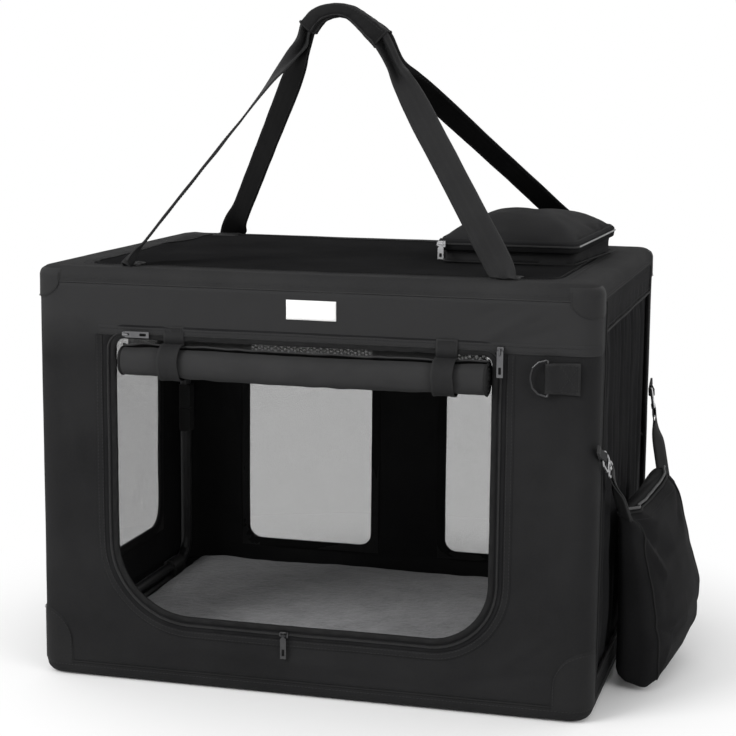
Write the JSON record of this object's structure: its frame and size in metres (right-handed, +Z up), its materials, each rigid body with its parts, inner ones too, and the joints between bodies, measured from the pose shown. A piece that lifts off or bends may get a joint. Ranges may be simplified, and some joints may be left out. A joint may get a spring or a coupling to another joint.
{
  "type": "soft folding dog crate",
  "caption": "Soft-sided dog crate on a folding tube frame, with a rolled-up front door, mesh windows, carrying straps, roof pocket and side pouch.",
  "frame": {"origin": "middle of the floor's underside, on the ground", "axes": "+X towards the end that carries the pouch, +Y from the door side to the back, +Z up"},
  "size_m": [0.7819, 0.5477, 0.8446],
  "materials": {
    "shell_fabric": "black woven polyester, slightly sheened, padded",
    "side_fabric": "thin black woven polyester",
    "mesh": "grey open hexagonal net",
    "mat_fleece": "charcoal brushed fleece",
    "webbing": "black ribbed webbing",
    "board": "black stiffening board",
    "frame_steel": "black powder coat on steel tube",
    "clip_plastic": "black moulded nylon",
    "zip_metal": "plated zinc, slightly worn"
  },
  "bodies": {
    "base": {"base_ring": "frame_steel", "base_clip_left_front": "clip_plastic", "base_clip_left_rear": "clip_plastic", "base_clip_right_front": "clip_plastic", "base_clip_right_rear": "clip_plastic", "floor_tray": "shell_fabric", "floor_board": "board", "floor_mat": "mat_fleece", "front_wall": "shell_fabric", "back_wall": "shell_fabric", "back_window_left": "mesh", "back_window_right": "mesh", "door_roll": "shell_fabric", "roll_tie_left": "webbing", "roll_tie_right": "webbing", "front_tab": "webbing", "pouch_loop_front": "webbing", "pouch_loop_rear": "webbing"},
    "left_lower": {"left_lower_frame": "frame_steel", "left_wall_lower": "side_fabric", "left_window_lower": "mesh", "left_knee_front_lower": "clip_plastic", "left_knee_rear_lower": "clip_plastic"},
    "left_upper": {"left_upper_frame": "frame_steel", "left_wall_upper": "side_fabric", "left_window_upper": "mesh", "left_knee_front_upper": "clip_plastic", "left_knee_rear_upper": "clip_plastic"},
    "right_lower": {"right_lower_frame": "frame_steel", "right_wall_lower": "side_fabric", "right_knee_front_lower": "clip_plastic", "right_knee_rear_lower": "clip_plastic"},
    "right_upper": {"right_upper_frame": "frame_steel", "right_wall_upper": "side_fabric", "right_knee_front_upper": "clip_plastic", "right_knee_rear_upper": "clip_plastic"},
    "roof": {"top_ring": "frame_steel", "roof_clip_left_front": "clip_plastic", "roof_clip_left_rear": "clip_plastic", "roof_clip_right_front": "clip_plastic", "roof_clip_right_rear": "clip_plastic", "roof_shell": "shell_fabric", "roof_pocket": "shell_fabric"},
    "front_strap": {"front_handle": "webbing", "grip_front": "webbing"},
    "rear_strap": {"rear_handle": "webbing", "grip_rear": "webbing"},
    "pouch": {"pouch_bag": "shell_fabric", "pouch_hook_front": "zip_metal", "pouch_hook_rear": "zip_metal"},
    "tab_ring": {"front_ring": "zip_metal"},
    "zip_left": {"zip_slider_left": "zip_metal"},
    "zip_left_tag": {"zip_pull_left": "zip_metal"},
    "zip_right": {"zip_slider_right": "zip_metal"},
    "zip_right_tag": {"zip_pull_right": "zip_metal"},
    "zip_sill": {"zip_slider_sill": "zip_metal"},
    "zip_sill_tag": {"zip_pull_sill": "zip_metal"},
    "pocket_zip": {"pocket_slider": "zip_metal"},
    "pocket_zip_tag": {"pocket_pull": "zip_metal"}
  },
  "joints": [
    {"name": "fold", "type": "hinge", "parent": "base", "child": "left_lower", "pos_m": [-0.3355, 0, 0.0312], "axis": [0, 1, 0], "range_deg": [0, 84.5], "deforming": ["front_wall", "back_wall", "back_window_left", "back_window_right", "door_roll", "roll_tie_left", "roll_tie_right", "front_tab", "front_ring", "zip_slider_left", "zip_pull_left", "zip_slider_right", "zip_pull_right", "zip_slider_sill", "zip_pull_sill", "pouch_loop_front", "pouch_loop_rear", "pouch_bag", "pouch_hook_front", "pouch_hook_rear"]},
    {"name": "left_knee", "type": "hinge", "parent": "left_lower", "child": "left_upper", "pos_m": [-0.344, 0, 0.26], "axis": [0, 1, 0], "range_deg": [-169, 0]},
    {"name": "roof_level", "type": "hinge", "parent": "left_upper", "child": "roof", "pos_m": [-0.3355, 0, 0.4888], "axis": [0, 1, 0], "range_deg": [0, 84.5]},
    {"name": "right_fold", "type": "hinge", "parent": "base", "child": "right_lower", "pos_m": [0.3355, 0, 0.0312], "axis": [0, 1, 0], "range_deg": [-84.5, 0]},
    {"name": "right_knee", "type": "hinge", "parent": "right_lower", "child": "right_upper", "pos_m": [0.344, 0, 0.26], "axis": [0, 1, 0], "range_deg": [0, 169]},
    {"name": "front_strap_swing", "type": "hinge", "parent": "roof", "child": "front_strap", "pos_m": [0, -0.236, 0.5218], "axis": [1, 0, 0], "range_deg": [0, 100]},
    {"name": "rear_strap_swing", "type": "hinge", "parent": "roof", "child": "rear_strap", "pos_m": [0, 0.236, 0.5218], "axis": [-1, 0, 0], "range_deg": [0, 120]},
    {"name": "pouch_swing", "type": "hinge", "parent": "base", "child": "pouch", "pos_m": [0.3547, 0, 0.318], "axis": [0, -1, 0], "range_deg": [0, 55]},
    {"name": "tab_ring_swing", "type": "hinge", "parent": "base", "child": "tab_ring", "pos_m": [0.2925, -0.2647, 0.412], "axis": [0, 0, 1], "range_deg": [0, 160]},
    {"name": "zip_left_slide", "type": "slide", "parent": "base", "child": "zip_left", "axis": [-1, 0, 0], "range_m": [0, 0.018]},
    {"name": "zip_left_flip", "type": "hinge", "parent": "zip_left", "child": "zip_left_tag", "pos_m": [-0.226, -0.2659, 0.44025], "axis": [0, 0, -1], "range_deg": [0, 160]},
    {"name": "zip_right_slide", "type": "slide", "parent": "base", "child": "zip_right", "axis": [0, 0, -1], "range_m": [0, 0.25]},
    {"name": "zip_right_flip", "type": "hinge", "parent": "zip_right", "child": "zip_right_tag", "pos_m": [0.2365, -0.2659, 0.44025], "axis": [-1, 0, 0], "range_deg": [0, 160]},
    {"name": "zip_sill_slide", "type": "slide", "parent": "base", "child": "zip_sill", "axis": [1, 0, 0], "range_m": [-0.12, 0.17]},
    {"name": "zip_sill_swing", "type": "hinge", "parent": "zip_sill", "child": "zip_sill_tag", "pos_m": [-0.025, -0.2659, 0.0795], "axis": [0, -1, 0], "range_deg": [-28, 28]},
    {"name": "pocket_zip_slide", "type": "slide", "parent": "roof", "child": "pocket_zip", "axis": [1, 0, 0], "range_m": [0, 0.165]},
    {"name": "pocket_zip_swing", "type": "hinge", "parent": "pocket_zip", "child": "pocket_zip_tag", "pos_m": [0.119, -0.0679, 0.5438], "axis": [0, -1, 0], "range_deg": [-28, 28]}
  ],
  "couplings": [
    {"joint": "left_knee", "follows": "fold", "ratio": -2},
    {"joint": "roof_level", "follows": "fold", "ratio": 1},
    {"joint": "right_fold", "follows": "fold", "ratio": -1},
    {"joint": "right_knee", "follows": "fold", "ratio": 2}
  ]
}
